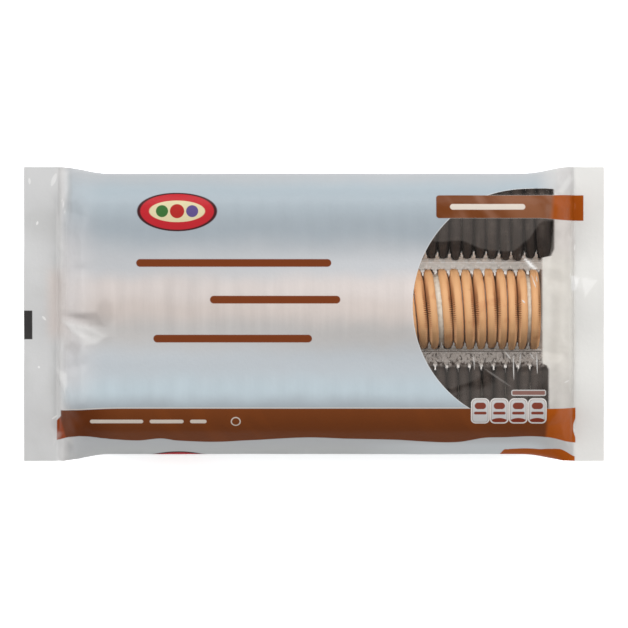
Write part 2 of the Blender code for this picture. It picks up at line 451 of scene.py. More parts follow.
class FilmForm:
    """Where the film lies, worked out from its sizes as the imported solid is."""

    def __init__(self, sizes, rows_y):
        self.sizes = {name: getattr(sizes, name) for name in FilmSizes.__annotations__}
        self.rows_y = rows_y
        self.left = PACK_LOW.x
        self.right = PACK_HIGH.x
        self.fin_half = max(PACK_HIGH.y, -PACK_LOW.y)
        self.stops = {1: self.side_stops(rows_y[2]), -1: self.side_stops(-rows_y[0])}

    def half(self, length):
        """The side that a signed film length is on, that side's stops, and the length along it."""
        side = 1 if length >= 0 else -1
        return side, self.stops[side], abs(length)

    def from_fins(self, x):
        """Distances from the roots of the left and the right fin, above 0 on the body."""
        return x - self.left - self.sizes["left_seal"], self.right - self.sizes["right_seal"] - x

    def side_stops(self, outer_row):
        """Film lengths from the front's middle to the back's, where each stretch of one side ends."""
        s = self.sizes
        slope, side = s["slope"], s["side"]
        slope_reach = s["body_width"] / 2 - outer_row - s["cookie_radius"] * math.sin(slope)
        slope_run = (slope_reach - s["rim_radius"] * (1 - math.sin(slope))) / math.cos(slope)
        rim_top = s["crest"] - s["cookie_radius"] * (1 - math.cos(slope)) - slope_run * math.sin(slope)
        rim_foot = rim_top - s["rim_radius"] * (math.cos(slope) - math.cos(side))
        to_seam = (rim_foot - s["fin_level"]) / math.sin(side)
        to_foot = (s["fin_level"] - s["foot_radius"] * (1 + math.cos(side))) / math.sin(side)
        side_reach = s["body_width"] / 2 - s["rim_radius"] * (1 - math.sin(side))
        foot_reach = side_reach + (to_seam + to_foot) * math.cos(side)
        lengths = (
            outer_row,
            s["cookie_radius"] * slope,
            slope_run,
            s["rim_radius"] * (side - slope),
            to_seam,
            to_foot,
            s["foot_radius"] * (math.pi - side),
            foot_reach - s["foot_radius"] * math.sin(side),
        )
        stops = [0.0]
        for length in lengths:
            stops.append(stops[-1] + length)
        return stops

    def walk(self, length):
        """Point of the body's section at a film length from the front's middle: y outward, and z."""
        _, stops, run = self.half(length)
        slope, side = self.sizes["slope"], self.sizes["side"]
        headings = (0.0, 0.0, slope, slope, side, side, side, math.pi, math.pi)
        y, z = 0.0, self.sizes["crest"]
        for index, (start, end) in enumerate(zip(stops, stops[1:])):
            part = min(max(run - start, 0.0), end - start)
            heading, turned = headings[index], headings[index + 1]
            if turned == heading:
                y += part * math.cos(heading)
                z -= part * math.sin(heading)
            else:
                radius = (end - start) / (turned - heading)
                now = heading + part / radius
                y += radius * (math.sin(now) - math.sin(heading))
                z -= radius * (math.cos(heading) - math.cos(now))
        return y, z

    def rise(self, distance, run):
        """Height share of the film at a distance from a fin."""
        part = min(max(distance / run, 0.0), 1.0)
        return (1 - (1 - part) ** RISE_POWER) * ease(distance / ROOT_ROUNDING)

    def pucker(self, distance, y, puckers):
        """Depth of the folds that run from the fin up the sloping end."""
        part = distance / self.sizes["front_run"]
        if not 0 < part < 1:
            return 0.0
        fade = math.sin(math.pi * part)
        depth = 0.0
        for place, lean, most, half_width in puckers:
            across = abs(y - place - lean * distance) / half_width
            depth += most * fade * max(0.0, 1 - across)
        return depth

    def printed_length(self, x, length):
        """Film length at which the print lies: folds at the ends don't pull it towards the middle."""
        side, stops, run = self.half(length)
        spread = ease(min(self.from_fins(x)) / self.sizes["front_flare"])
        if run <= stops[SEAM]:
            flat = min(run / stops[RIM], 1.0) * self.fin_half
        else:
            flat = stops[-1] - min((stops[-1] - run) / (stops[-1] - stops[FOOT]), 1.0) * self.fin_half
        return side * (flat + (run - flat) * spread)

    def point(self, x, length, section):
        """Point of the film, where section is the body's (y, z) at that film length."""
        s = self.sizes
        side, stops, run = self.half(length)
        y, z = section
        left, right = self.from_fins(x)
        distance = min(left, right)
        on_front = run <= stops[SEAM]
        lip = stops[RIM] if on_front else stops[FOOT]
        fold = (stops[SEAM] - run) / (stops[SEAM] - lip)
        if on_front:
            fin_y = min(run / lip, 1.0) * self.fin_half
            fin_z = s["fin_level"] + min(fold, 1.0) * s["fin_thickness"] / 2
            height = self.rise(distance, s["front_run"])
            flare_run = s["front_flare"]
        else:
            fin_y = min((stops[-1] - run) / (stops[-1] - lip), 1.0) * self.fin_half
            fin_z = s["fin_level"] - min(fold, 1.0) * s["fin_thickness"] / 2
            height = self.rise(distance, s["back_run"])
            flare_run = s["back_flare"] + (s["front_flare"] - s["back_flare"]) * max(0.0, 1 - fold)
        spread = ease(distance / flare_run)
        y = fin_y + (y - fin_y) * spread
        z = fin_z + (z - fin_z) * height

        tuck_start = ease(distance / s["tuck_peak"])
        tuck_end = 1 - ease((distance - s["tuck_peak"]) / (s["tuck_run"] - s["tuck_peak"]))
        y -= s["tuck_depth"] * tuck_start * tuck_end * max(0.0, 1 - fold)
        y *= side

        if on_front:
            nearest = min(abs(y - row) for row in self.rows_y)
            crest = math.exp(-((nearest / CREST_HALF_WIDTH) ** 2))
            valley = 0.0
            if self.rows_y[0] < y < self.rows_y[2]:
                pitch = self.rows_y[1] - self.rows_y[0]
                valley = 0.5 - 0.5 * math.cos(2 * math.pi * (y - self.rows_y[0]) / pitch)
            ribs = 0.5 - 0.5 * math.cos(2 * math.pi * x / SANDWICH_PITCH)
            z -= height * (s["valley_sag"] * valley + s["rib_depth"] * ribs * crest)
            z -= self.pucker(left, y, LEFT_PUCKERS) + self.pucker(right, y, RIGHT_PUCKERS)
        on_fin = ease(-distance / min(s["left_seal"], s["right_seal"]))
        z += s["fin_wave"] * on_fin * math.sin(2 * math.pi * y / s["fin_wave_length"])
        return Vector((x, y, z))

    def relief(self, x, length):
        """Fine creases and crinkles of the film, outward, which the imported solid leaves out."""
        _, stops, run = self.half(length)
        distance = min(self.from_fins(x))
        place = Vector((x, length, 0.0))
        height = SLOW_WAVE_HEIGHT * noise.noise(place * SLOW_WAVE_SCALE) * ease(distance / CRINKLE_REACH)
        near_fin = ease((CRINKLE_REACH - distance) / 0.024) * ease((distance + 0.004) / 0.006)
        if near_fin > 0:
            ridged = 1 - abs(noise.noise(Vector((x * 95, length * 55, 3.0)))) * 2.6
            height += self.sizes["crinkle"] * near_fin * (max(ridged, 0.0) ** 2 - 0.35)
        if distance < 0:
            height += FIN_WRINKLE_HEIGHT * noise.noise(Vector((x * 150, length * 60, 9.0)))
        if run <= stops[SEAM]:
            for (x0, v0), (x1, v1), most, half_width in CREASES:
                start = Vector((x0, v0)) * MILLI
                along = Vector((x1, v1)) * MILLI - start
                offset = Vector((x, length)) - start
                part = min(max(offset.dot(along) / along.length_squared, 0.0), 1.0)
                across = (offset - along * part).length / (half_width * MILLI)
                if across < 1:
                    height += most * MILLI * (1 - across) * (0.35 + 0.65 * math.sin(math.pi * part))
        return height * ease((stops[-1] - run) / BACK_FADE)

    def shine(self, x, length):
        """How much the film shines at a fold, from -1 to 1."""
        place = Vector((x, self.printed_length(x, length))) / MILLI
        most = 0.0
        for corners, strength, softness in FACETS:
            low = min(corner[0] for corner in corners) - 1
            high = max(corner[0] for corner in corners) + 1
            if low < place.x < high:
                amount = strength * ease(inside_distance(place, corners) / softness + 0.4)
                if abs(amount) > abs(most):
                    most = amount
        return most

    def ring_lengths(self, steps):
        """Signed film lengths of one ring, from the back's middle over the front to the back's middle."""
        ring = []
        for side in (-1, 1):
            half = [0.0]
            for start, end, count in zip(self.stops[side], self.stops[side][1:], steps):
                half += [start + (end - start) * step / count for step in range(1, count + 1)]
            if side < 0:
                ring = [-length for length in reversed(half)]
            else:
                ring += half[1:]
        return ring


# Print, laid out on the flat film in millimetres: u along the pack, v across it

WINDOW_MIDDLE = (119.3, 4.5)
WINDOW_RADIUS = 65.6
PRINT_LEFT = -136.0
PRINT_RIGHT = 133.0
STRIP_LEFT = -141.5
STRIP_RIGHT = 143.8
STRIP_TOP = -51.5
TAB_LEFT = 66.5
TAB_RIGHT = 148.2
TAB_FOOT = 52.1
TAB_TOP = 65.3
FIELD_BANDS = (
    # v, colour: the pale ink takes a tone from the rows, the ridges and the walls behind it
    (-88, (199, 200, 200)), (-81, (209, 211, 211)), (-74, (206, 208, 210)), (-52, (170, 178, 184)),
    (-42, (193, 206, 213)), (-27, (193, 199, 204)), (-10, (195, 192, 190)), (3, (213, 202, 196)),
    (14, (219, 210, 206)), (27, (201, 203, 206)), (47, (169, 178, 185)), (57, (172, 182, 189)),
    (68, (172, 183, 190)), (83, (183, 186, 189)),
)
FIELD_TONES = (
    # v from and to, and how much lighter the field is there at the left and at the right
    (-2.0, 32.0, -0.05, 0.06), (-25.0, -8.0, 0.08, -0.02), (70, 90, -0.06, 0.0),
)
HIDDEN_PITCH = 12.6
EMBLEM_U = -74.5
EMBLEM_PLACES = (56.0, -93.0)
EMBLEM_HALF = (21.8, 11.0)
EMBLEM_INNER_HALF = (15.2, 6.0)
EMBLEM_DISCS = (("green", -8.2, 3.3), ("red", 0.0, 3.9), ("violet", 8.2, 3.3))
EMBLEM_INKS = (
    ("rim", (72, 36, 38)), ("oval", (192, 44, 52)), ("inner", (222, 210, 170)),
    ("green", (62, 112, 58)), ("red", (178, 46, 44)), ("violet", (98, 82, 138)),
)
# left end, right end and middle height of each plain bar
FIELD_BARS = ((-96.8, 9.4, 27.8), (-56.6, 14.3, 7.8), (-87.4, -1.1, -13.4))
FIELD_BAR_HALF = 2.1
STRIP_BARS = ((-122.0, -93.0, -58.9), (-89.5, -71.0, -58.9), (-67.5, -58.5, -58.9))
STRIP_BAR_HALF = 1.1
TAB_BAR = (74.0, 115.0, 58.4)
TAB_BAR_HALF = 1.6
RING_MIDDLE = (-42.6, -58.9)
RING_RADIUS = 2.4
BADGES = 4
BADGE_MIDDLE = (90.5, -53.0)
BADGE_PITCH = 10.35
BADGE_HALF = (5.1, 7.2)
BADGE_BAR_MIDDLE = (116.8, -42.9)
BADGE_BAR_HALF = (8.9, 1.1)
BADGE_INKS = (
    ("line", (226, 222, 218)), ("fill", (204, 203, 202)), ("trim", (128, 100, 90)),
    ("foot", (132, 56, 38)), ("print", (132, 66, 52)),
)
MARK_MIDDLE = (-157.5, -6.0)
MARK_HALF = (2.6, 7.9)
SOFT_EDGE = 0.5
SHARP_EDGE = 0.4
STRIP_FOOT = -75.0
STRIP_EDGE = (
    # u, height of the strip's lower edge over its lowest place, where the film's folds lift it
    (-142, 5.6), (-136, 6.8), (-128, 6.9), (-118, 4.6), (-112, 3.1), (-96, 1.9), (-84, 3.7), (-76, 2.1),
    (-59, 0.8), (-43, 1.4), (-26, 2.8), (-5, 4.4), (16, 3.5), (47, 2.4), (62, 0.8), (80, 0.8), (92, 3.9),
    (107, 4.8), (127, 5.8), (135, 5.1), (143, 4.3),
)
SIDE_TAB_FOOT = -95.0
SIDE_TAB_EDGE = (
    # u, height of the lower tab's upper edge over its foot
    (102, 11.0), (104, 14.3), (107, 14.9), (124, 16.6), (134, 19.7), (139, 18.8), (143, 16.9),
)
CONTACT_EDGE = (
    # u, v over 31.5 of the line above which the film lies on the upper row and looks milky, a veil that is
    # partly painted reflection
    (58, 11.2), (66, 8.0), (81, 8.2), (90, 4.4), (108, 2.8), (113, 6.4), (118, 10.8), (124, 19.0),
)
FACETS = (
    # corners of a flat fold, how much it shines and how soft its edge is
    # one that shines less than 0 is turned from the light
    (((-138.4, -3.0), (-121.5, -7.5), (-112.0, -11.7), (-118.5, -16.3), (-125.0, -17.2)), 0.44, 3.0),
    (((-137.0, -0.5), (-118.0, 1.5), (-113.0, -7.0), (-121.5, -6.5)), -0.30, 2.4),
    (
        ((-120.0, -2.0), (-118.0, 5.0), (-114.0, 8.6), (-109.5, 6.0), (-107.5, -2.0), (-113.0, -7.0)),
        -0.16, 4.5,
    ),
    (((-131.0, -14.0), (-126.0, -17.0), (-129.0, -24.0), (-137.0, -18.0)), -0.16, 3.0),
    (((-141.8, -29.6), (-135.3, -32.3), (-134.6, -39.3), (-136.2, -44.5)), 0.42, 2.0),
    (((-142.0, 80.0), (-134.5, 79.0), (-134.2, 68.0), (-137.8, 58.0)), 0.26, 3.0),
    (((-138.4, 63.0), (-137.0, 62.0), (-136.0, 54.5)), 0.90, 1.0),
    (((-145.0, -62.0), (-138.0, -66.0), (-143.0, -72.0)), 0.25, 2.4),
    (((140.3, 21.8), (146.0, 20.0), (144.2, 13.2), (141.5, 12.0)), 0.95, 1.2),
    (((146.8, 20.5), (156.0, 18.5), (149.0, 9.0)), 0.60, 1.2),
    (((139.5, 42.0), (142.0, 44.0), (143.2, 10.0), (141.0, 8.0)), 0.20, 2.0),
    (((140.0, 6.0), (143.0, 4.0), (143.0, -46.0), (139.0, -40.0)), 0.15, 2.0),
    (((112.6, 31.8), (117.2, 29.2), (123.8, 22.6), (117.4, 25.4)), 1.00, 1.2),
    (((132.6, 67.0), (140.4, 77.0), (143.0, 74.0), (136.4, 66.2)), 0.30, 2.0),
    (((128.0, 14.0), (134.0, 12.0), (133.0, -34.0), (128.5, -30.0)), -0.06, 4.0),
)
GLINT_STROKES = (
    # start, end, width and brightness of a painted glint, a thin bright stroke on the clear film
    ((118.8, 19.5), (121.0, 14.0), 0.6, 0.8),
    ((120.8, 21.0), (121.6, 17.0), 0.5, 0.7),
    ((118.0, 21.5), (119.8, 18.0), 0.4, 0.6),
    ((113.0, 7.8), (115.0, 5.8), 0.9, 0.8),
    ((91.0, -28.5), (109.0, -40.8), 1.2, 0.2),
    ((108.4, -21.0), (108.8, -37.0), 0.6, 0.75),
    ((121.2, -20.6), (121.6, -33.5), 0.6, 0.75),
    ((103.6, -20.0), (107.2, -24.8), 0.9, 0.5),
    ((112.4, -20.4), (112.0, -30.0), 0.8, 0.45),
    ((117.2, -21.0), (120.2, -25.0), 0.8, 0.5),
    ((86.8, -22.0), (87.4, -31.0), 0.9, 0.4),
    ((143.6, 38.6), (143.2, 34.8), 0.9, 0.6),
    ((139.8, -36.2), (136.6, -37.6), 0.8, 0.5),
    ((84.0, 28.2), (100.0, 28.0), 0.4, 0.5),
    ((-156.6, 75.0), (-156.2, 71.0), 1.4, 0.45),
    ((-152.6, 48.8), (-151.8, 51.2), 1.2, 0.7),
    ((-149.6, -1.0), (-147.2, -3.6), 1.2, 0.7),
    ((-151.8, -28.6), (-150.8, -29.8), 1.2, 0.6),
    ((-144.4, -58.0), (-141.0, -55.6), 1.0, 0.6),
    ((-144.6, 69.8), (-141.4, 78.0), 2.4, 0.35),
    ((140.6, -58.4), (143.0, -55.6), 1.0, 0.5),
)


class FilmPaint(Paint):
    """The film's material."""

    def __init__(self, name):
        super().__init__(name)
        sheet = self.node("ShaderNodeUVMap", {"uv_map": "sheet"})
        self.flat = self.vector("SCALE", sheet, Scale=1 / MILLI)
        self.u, self.v, _ = self.parts(self.flat)
        self.slow = self.noise(self.flat, 0.035, 2.0)
        self.fine = self.noise(self.flat, 0.16, 3.0)
        self.front = self.fade(abs(self.v), 88.0, 86.0)
        self.colour = None

    def lay(self, mask, colour):
        """Puts an ink over what is already there."""
        self.colour = self.mix(mask, self.colour, colour)

    def ramp(self, value, places, interpolation):
        """Colour along a value, through pairs of a place and a colour."""
        low, high = places[0][0], places[-1][0]
        stops = [((place - low) / (high - low), colour) for place, colour in places]
        across = self.maths("DIVIDE", value - low, high - low, clamp=True)
        settings = {"stops": stops, "interpolation": interpolation}
        return self.node("ShaderNodeValToRGB", settings, {0: across})

    def curve(self, value, places, most):
        """A smooth curve through pairs of a place and a number up to most."""
        greys = [(place, (number / most,) * 3) for place, number in places]
        return self.ramp(value, greys, "CARDINAL") * most

    def bar(self, left, right, middle, half):
        """A bar with round ends."""
        box = self.box_distance(self.flat, ((left + right) / 2, middle), ((right - left) / 2, half), half)
        return self.within(box, SOFT_EDGE)

    def union(self, masks):
        """The places that any of some masks covers."""
        whole = masks[0]
        for mask in masks[1:]:
            whole = self.largest(whole, mask)
        return whole

    def field(self):
        """Pale field, toned by what lies behind it."""
        wander = (self.slow - 0.5) * 9.0
        bands = [(place, ink(*shade)) for place, shade in FIELD_BANDS]
        self.colour = self.ramp(self.v + wander, bands, "EASE")

        ripple = self.noise(self.joined(self.u * 0.16, self.v * 0.012), 1.0, 3.0, 0.6)
        wave = self.maths("SINE", self.u * (2 * math.pi / HIDDEN_PITCH) + (self.slow - 0.5) * 3.0)
        on_rows = self.union([
            self.between(self.v, -11.0, 20.0, 12.0),
            self.between(self.v, -48.0, -34.0, 8.0) * 0.5,
            self.between(self.v, 34.0, 62.0, 8.0) * 0.25,
        ])
        tone = ((ripple - 0.5) * 0.26 + wave * 0.02) * on_rows + (self.fine - 0.5) * 0.03 + 1.0
        for low, high, at_left, at_right in FIELD_TONES:
            change = self.fade(self.u, -100.0, 40.0, at_left, at_right)
            tone = tone + self.between(self.v, low, high, 10.0) * change
        self.colour = self.mix(1.0, self.colour, self.joined(tone, tone, tone), "MULTIPLY")
        pale = self.fade(self.v, 58.0, 36.0, 0.15, 0.55) * self.fade(self.v, -48.0, -34.0, 0.35, 1.0)
        self.lay(self.fade(self.u, -112.0, -134.0) * pale, ink(221, 217, 217))
        low_side = self.between(self.v, -90.0, -75.0, 6.0)
        self.lay(low_side * self.fade(self.u, 10.0, 70.0) * 0.6, ink(230, 236, 240))
        self.lay(self.fade(self.u, 119.0, 132.0) * 0.8, ink(206, 205, 204))
        self.lay(self.fade(abs(self.v), 92.0, 98.0), ink(206, 213, 218))

    def lay_inks(self, masks, inks):
        """Lays each ink by its name over all the places that its masks cover."""
        for name, shade in inks:
            self.lay(self.union(masks[name]), ink(*shade))

    def emblem(self):
        """A plain oval with three discs in a row, on the front and again on the lower side."""
        masks = {name: [] for name, _ in EMBLEM_INKS}
        for middle in EMBLEM_PLACES:
            place = self.vector("SUBTRACT", self.flat, (EMBLEM_U, middle, 0.0))
            outer, inner = [
                self.vector("LENGTH", self.vector("DIVIDE", place, (*half, 1.0)), output=1)
                for half in (EMBLEM_HALF, EMBLEM_INNER_HALF)
            ]
            masks["rim"].append(self.fade(outer, 1.02, 0.98))
            masks["oval"].append(self.fade(outer, 0.94, 0.90))
            masks["inner"].append(self.fade(inner, 1.03, 0.97))
            for name, across, radius in EMBLEM_DISCS:
                disc = self.disc_distance(self.flat, (EMBLEM_U + across, middle), radius)
                masks[name].append(self.within(disc, SHARP_EDGE))
        self.lay_inks(masks, EMBLEM_INKS)

    def brown_shapes(self):
        """Strip along the foot, tab over the window, and the tab again on the lower side.

        Returns the mask of all three.
        """
        u, v = self.u, self.v
        inks = bpy.context.scene.print_colours
        notch = self.fade(v, -58.8, -55.4) * 2.6
        bite = self.between(v, -66.0, -59.0, 5.0) * 1.2
        ends = self.fade(u - notch, STRIP_LEFT - 0.4, STRIP_LEFT + 0.4) * self.fade(
            u + bite, STRIP_RIGHT + 0.3, STRIP_RIGHT - 0.3
        )
        foot = v - self.curve(u, STRIP_EDGE, 7.0) - STRIP_FOOT
        top = v + self.fade(u, -105.0, -140.0) * 1.2 - STRIP_TOP
        strip = self.fade(top, 0.25, -0.25) * self.fade(foot, -0.3, 0.3) * ends
        self.lay(self.within(abs(top - 0.4) - 0.2, SOFT_EDGE) * ends * 0.8, ink(226, 216, 204))
        self.lay(self.within(abs(foot + 0.4) - 0.2, SOFT_EDGE) * ends * 0.15, ink(214, 190, 172))

        half = ((TAB_RIGHT - TAB_LEFT) / 2 + 4.0, (TAB_TOP - TAB_FOOT) / 2)
        middle = (TAB_LEFT + half[0], (TAB_TOP + TAB_FOOT) / 2)
        drop = self.fade(u, 122.0, 137.0) * self.fade(v, 60.0, 54.0) * 0.9
        tab = self.within(self.box_distance(self.joined(u, v + drop), middle, half, 1.7), SOFT_EDGE)
        tab = tab * self.fade(u, TAB_RIGHT + 0.3, TAB_RIGHT - 0.3)
        side_top = v - self.curve(u, SIDE_TAB_EDGE, 20.0) - SIDE_TAB_FOOT
        side_foot = self.fade(v, SIDE_TAB_FOOT - 0.3, SIDE_TAB_FOOT + 0.3)
        side_tab = self.fade(side_top, 0.3, -0.3) * side_foot * self.between(u, 102.0, 143.4, 0.6)

        streaks = self.noise(self.joined(u * 0.05 + v * 0.03, v * 0.02), 1.0, 2.0)
        behind = self.fade(u + (self.slow - 0.5) * 4.0, 128.0, 125.0)
        self.lay(strip, self.toned(
            inks.strip,
            (behind, inks.strip_dark),
            (self.fade(streaks, 0.5, 0.7) * 0.35 * behind, ink(138, 72, 30)),
            (self.fade(u, -104.0, -124.0) * 0.7, ink(96, 44, 14)),
            (self.fade(u + v * 0.3, -155.4, -157.2), ink(150, 66, 26)),
        ))
        behind = self.fade(u - v * 0.12, 125.0, 121.0)
        self.lay(tab, self.toned(
            inks.strip,
            (behind, inks.tab_dark),
            ((1.0 - behind) * 0.4, ink(140, 66, 14)),
            # lighter streaks on the part of the tab over dark cookies: painted soft reflections
            (self.fade(streaks, 0.48, 0.6) * behind * 0.5, ink(162, 118, 96)),
            (self.between(u + v * 0.6, 138.0, 160.0, 12.0) * 0.32, ink(172, 122, 94)),
            (self.fade(u, 80.0, 68.0) * 0.6, ink(112, 58, 24)),
        ))
        self.lay(side_tab, inks.strip)
        return self.union([strip, tab, side_tab])

    def bars(self):
        """Plain bars in place of words."""
        inks = bpy.context.scene.print_colours
        self.lay(self.union([self.bar(*place, FIELD_BAR_HALF) for place in FIELD_BARS]), inks.bars)
        ring = self.disc_distance(self.flat, RING_MIDDLE, RING_RADIUS)
        marks = [self.bar(*place, STRIP_BAR_HALF) for place in STRIP_BARS]
        marks.append(self.bar(*TAB_BAR, TAB_BAR_HALF))
        marks.append(self.within(abs(ring) - 0.3, SHARP_EDGE))
        self.lay(self.union(marks) * 0.92, inks.cream)

    def badges(self):
        """Small badges and a bar over them, at the foot of the window. Returns their mask."""
        masks = {name: [] for name, _ in BADGE_INKS}
        for index in range(BADGES):
            middle = (BADGE_MIDDLE[0] + index * BADGE_PITCH, BADGE_MIDDLE[1])
            outer = self.box_distance(self.flat, middle, BADGE_HALF, 2.8)
            masks["line"].append(self.within(outer, SHARP_EDGE))
            masks["trim"].append(self.within(abs(outer + 0.85) - 0.1, SHARP_EDGE))
            masks["fill"].append(self.within(outer + 0.9, SHARP_EDGE))
            foot = self.within(self.disc_distance(self.flat, (middle[0], -65.2), 8.4), SHARP_EDGE)
            masks["foot"].append(foot * masks["fill"][-1] * float(index > 0))
            for height, half, thick in ((-50.0, 3.1, 1.8), (-54.0, 3.4, 0.8)):
                masks["print"].append(self.bar(middle[0] - half, middle[0] + half, height, thick))
        bar = self.box_distance(self.flat, BADGE_BAR_MIDDLE, BADGE_BAR_HALF, 0.6)
        masks["line"].append(self.within(bar - 0.6, SHARP_EDGE) * 0.8)
        masks["print"].append(self.within(bar, SHARP_EDGE))
        self.lay_inks(masks, BADGE_INKS)
        return self.union(masks["line"])

    def veil(self):
        """Milkiness of the clear film and its colour, with painted reflections, a painted shadow line and
        painted light laid in.
        """
        u, v = self.u, self.v
        inks = bpy.context.scene.print_colours
        left_fin = self.fade(u + (self.slow - 0.5) * 3.0, -137.5, -142.5)
        right_fin = self.fade(u + (self.slow - 0.5) * 2.0, 141.0, 144.5)
        between_ends = self.fade(abs(u), 142.0, 138.0)
        row_end = self.fade(v, 30.4, 32.0) * 5.2 + self.fade(v, 31.5, 36.0) * 1.6 + 123.8
        row_end = row_end + self.fade(v, -26.6, -28.4) * 2.6 + self.fade(v, -28.0, -30.5)
        past_row = self.fade(u - row_end, -0.6, 1.2)
        on_upper = self.fade(v - self.curve(u, CONTACT_EDGE, 20.0), 30.9, 32.1)
        patches = self.noise(self.vector("MULTIPLY", self.flat, (0.05, 0.11, 0.0)), 1.0, 2.0, 0.5, 0.6)
        on_lower = self.fade(v, -27.0, -32.0) * self.fade(patches, 0.34, 0.54)
        on_foot = self.between(v, -21.0, -9.0, 3.5)
        on_ridge = self.between(v + (self.fine - 0.5) * 3.0, -28.0, -20.8, 2.4)
        # bright and dark squiggles over the ridge by the lower row: painted reflections of the dark cookies
        # in the clear tray
        reflection_scrawl = self.noise(self.vector("MULTIPLY", self.flat, (0.42, 0.26, 0.0)), 1.0, 3.0, 0.5, 1.6)
        glint = self.fade(reflection_scrawl, 0.53, 0.60)
        dark = self.fade(reflection_scrawl, 0.46, 0.40)
        # a thin dark line along the upper edge of the ridge by the lower row: painted shadow
        ridge_shadow_line = self.within(abs(v + 20.2) - 0.3, SHARP_EDGE)
        soft = self.noise(self.joined(u * 0.3, v * 0.02), 1.0, 2.0)

        # how milky the clear film is: over the window partly its own haze and partly painted reflection of
        # the room
        contact = self.fade(v, 68.0, 64.0, 0.15, 1.0)
        milk_and_painted_light = on_upper * (self.fade(soft, 0.52, 0.75) * 0.03 + 0.07) * contact + on_lower * 0.068 + 0.022
        # over the ridge by the lower row the veil carries these painted reflections
        milk_and_painted_light = milk_and_painted_light + on_foot * 0.11 + on_ridge * (self.largest(glint, dark) * 0.4 + 0.4)
        milk_and_painted_light = self.largest(milk_and_painted_light, ridge_shadow_line * 0.7)
        milk_and_painted_light = milk_and_painted_light * between_ends
        # past the rows' ends a pale, nearly opaque sheet: painted light standing in for the tray's end seen
        # lit through the film, over the shade in that pocket
        milk_and_painted_light = self.largest(milk_and_painted_light, past_row * (self.fine * 0.2 + 0.84))
        milk_and_painted_light = self.largest(milk_and_painted_light, self.fade(u, -131.5, -136.0) * 0.97)
        milk_and_painted_light = self.largest(milk_and_painted_light, self.largest(left_fin, right_fin) * 0.97)

        # tone of that painted light, darker towards the lower side and a little at the upper side
        end_tone = self.toned(
            ink(228, 223, 215),
            (self.fade(v, -20.0, -44.0), ink(212, 207, 201)),
            (self.fade(v, 26.0, 40.0), ink(221, 214, 209)),
        )
        seal = self.mix(self.fade(self.slow, 0.42, 0.62) * 0.6, inks.seal, ink(201, 201, 200))
        # a band where the film rises from the left fin's root, lightened over the shade of that corner:
        # painted light
        root = self.between(u, -141.2, -137.0, 2.4) * self.fade(v, 62.0, 50.0)
        warm = self.between(v, -13.0, 24.0, 12.0) * self.fade(u, -150.0, -143.0)
        warm = warm * self.fade(u, -128.0, -134.0)
        shade = self.toned(
            inks.haze,
            # greyer over the vanilla's feet and the ridge by the lower row; on the ridge this grey and the
            # two tones after it are painted reflections
            (self.union([on_foot, on_ridge]), ink(113, 101, 94)),
            (on_ridge * glint, ink(158, 149, 143)),
            (on_ridge * dark, ink(66, 58, 54)),
            (ridge_shadow_line, ink(84, 76, 72)),
            (past_row, end_tone),
            (past_row * self.fade(abs(v), 60.0, 70.0), ink(212, 210, 209)),
            (self.fade(u, -130.0, -134.0), ink(213, 211, 210)),
            (left_fin, seal),
            (root * 0.36, ink(250, 249, 248)),
            (warm * 0.8, ink(217, 207, 202)),
            (right_fin, inks.seal_right),
        )
        return milk_and_painted_light, shade

    def scratches(self):
        """Painted glints: thin bright strokes on the clear film."""
        return self.union([
            self.stroke(self.flat, start, end, width, SOFT_EDGE) * strength
            for start, end, width, strength in GLINT_STROKES
        ])


def film_material():
    """Printed film: pale field, round window, strip, tab, bars, badges and a plain emblem."""
    inks = bpy.context.scene.print_colours
    paint = FilmPaint("printed_film")
    u = paint.u
    paint.field()
    round_window = paint.disc_distance(paint.flat, WINDOW_MIDDLE, WINDOW_RADIUS)
    edge = paint.within(abs(round_window - 0.1) - 0.3, SOFT_EDGE) * paint.fade(u, 121.0, 119.0)
    paint.lay(edge * paint.front * 0.6, ink(228, 231, 232))
    paint.emblem()
    brown = paint.brown_shapes()
    paint.bars()
    badges = paint.badges()

    window = paint.within(round_window, SOFT_EDGE) * paint.front
    wobble = (paint.slow - 0.5) * paint.fade(u, 0.0, -60.0, 2.0, 9.0)
    printed = paint.fade(u + wobble, PRINT_LEFT - 4.5, PRINT_LEFT + 4.5) * paint.fade(
        u + wobble, PRINT_RIGHT + 2.0, PRINT_RIGHT - 2.0
    )
    solid = paint.union([printed * (1.0 - window), brown, badges])

    milk_and_painted_light, shade = paint.veil()
    # painted highlights on folds that face the light and painted shade on folds turned from it, from the
    # shine attribute, together with the painted glints
    shine = paint.node("ShaderNodeAttribute", {"attribute_name": "shine"}, output=2)
    bright = paint.largest(paint.largest(shine, 0.0), paint.scratches() * (1.0 - solid))
    painted_fold_shade = paint.largest(0.0 - shine, 0.0)
    paint.colour = paint.mix(solid, shade, paint.colour)
    paint.lay(painted_fold_shade, ink(128, 118, 114))
    paint.lay(bright, ink(250, 249, 247))
    mark = paint.box_distance(paint.flat, MARK_MIDDLE, MARK_HALF, 0.3)
    paint.lay(paint.within(mark, SOFT_EDGE) * paint.front, inks.mark)
    alpha = paint.largest(milk_and_painted_light * (1.0 - solid), bright) + solid
    alpha = paint.maths("ADD", alpha, 0.0, clamp=True)

    roughness = paint.fade(solid, 0.0, 1.0, 0.16, 0.3)
    crackle = paint.noise(paint.flat, 0.5, 3.0) * 0.6 + paint.noise(paint.flat, 0.12, 2.0)
    more = {"Alpha": alpha, "Specular IOR Level": 0.08}
    return paint.surface(paint.colour, roughness, crackle, 0.25, 0.0006, more)


SIDE_STEPS = (44, 16, 10, 4, 4, 11, 3, 31)
STATIONS = 370
LEAST_HEIGHT = 0.0002
SEAM_JOIN = 2e-6


